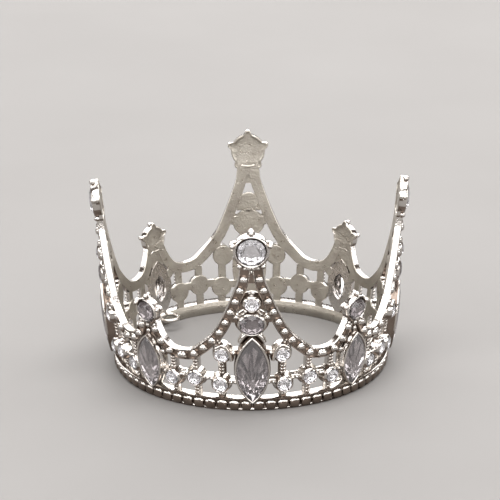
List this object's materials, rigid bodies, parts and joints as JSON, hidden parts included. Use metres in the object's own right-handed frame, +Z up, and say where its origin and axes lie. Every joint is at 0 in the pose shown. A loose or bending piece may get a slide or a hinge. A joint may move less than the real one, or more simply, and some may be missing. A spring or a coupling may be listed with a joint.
{
  "type": "mini crown",
  "caption": "Miniature full-round crown, an openwork flared band of tall and short peaks on a beaded rail, set with clear stones, pinned on top of the hair.",
  "frame": {"origin": "middle of the base rail, at the plane that the crown rests on", "axes": "+Z up through the middle of the crown, -Y towards the front peak, +X towards the right peak as the front is looked at"},
  "size_m": [0.0752, 0.0752, 0.0448],
  "materials": {
    "bright_silver": "bright silver plating over cast zinc alloy, mirror bright outside with soft casting waviness",
    "satin_silver": "silver plating left satin from the casting, inside of the band, loops and solder",
    "clear_stone": "clear faceted glass with a bright foil back",
    "smoky_stone": "clear faceted acrylic with a thin foil back that reads smoky grey"
  },
  "bodies": {
    "root": {"base_rail": "bright_silver", "tall_casting_front": "bright_silver", "finial_stone_front": "clear_stone", "navette_stone_front": "smoky_stone", "mid_stone_front": "smoky_stone", "top_stone_front": "clear_stone", "row_stone_front_l1": "clear_stone", "row_stone_front_r1": "clear_stone", "row_stone_front_l2": "clear_stone", "row_stone_front_r2": "clear_stone", "tall_casting_right": "bright_silver", "finial_stone_right": "clear_stone", "navette_stone_right": "smoky_stone", "mid_stone_right": "smoky_stone", "top_stone_right": "clear_stone", "row_stone_right_l1": "clear_stone", "row_stone_right_r1": "clear_stone", "row_stone_right_l2": "clear_stone", "row_stone_right_r2": "clear_stone", "tall_casting_back": "bright_silver", "finial_stone_back": "clear_stone", "navette_stone_back": "smoky_stone", "mid_stone_back": "smoky_stone", "top_stone_back": "clear_stone", "row_stone_back_l1": "clear_stone", "row_stone_back_r1": "clear_stone", "row_stone_back_l2": "clear_stone", "row_stone_back_r2": "clear_stone", "tall_casting_left": "bright_silver", "finial_stone_left": "clear_stone", "navette_stone_left": "smoky_stone", "mid_stone_left": "smoky_stone", "top_stone_left": "clear_stone", "row_stone_left_l1": "clear_stone", "row_stone_left_r1": "clear_stone", "row_stone_left_l2": "clear_stone", "row_stone_left_r2": "clear_stone", "short_casting_front_right": "bright_silver", "finial_stone_front_right": "clear_stone", "navette_stone_front_right": "smoky_stone", "row_stone_front_right_l1": "clear_stone", "row_stone_front_right_r1": "clear_stone", "short_casting_back_right": "bright_silver", "finial_stone_back_right": "clear_stone", "navette_stone_back_right": "smoky_stone", "row_stone_back_right_l1": "clear_stone", "row_stone_back_right_r1": "clear_stone", "short_casting_back_left": "bright_silver", "finial_stone_back_left": "clear_stone", "navette_stone_back_left": "smoky_stone", "row_stone_back_left_l1": "clear_stone", "row_stone_back_left_r1": "clear_stone", "short_casting_front_left": "bright_silver", "finial_stone_front_left": "clear_stone", "navette_stone_front_left": "smoky_stone", "row_stone_front_left_l1": "clear_stone", "row_stone_front_left_r1": "clear_stone", "pin_loop_left_back": "satin_silver", "pin_loop_right_front": "satin_silver"}
  },
  "joints": []
}
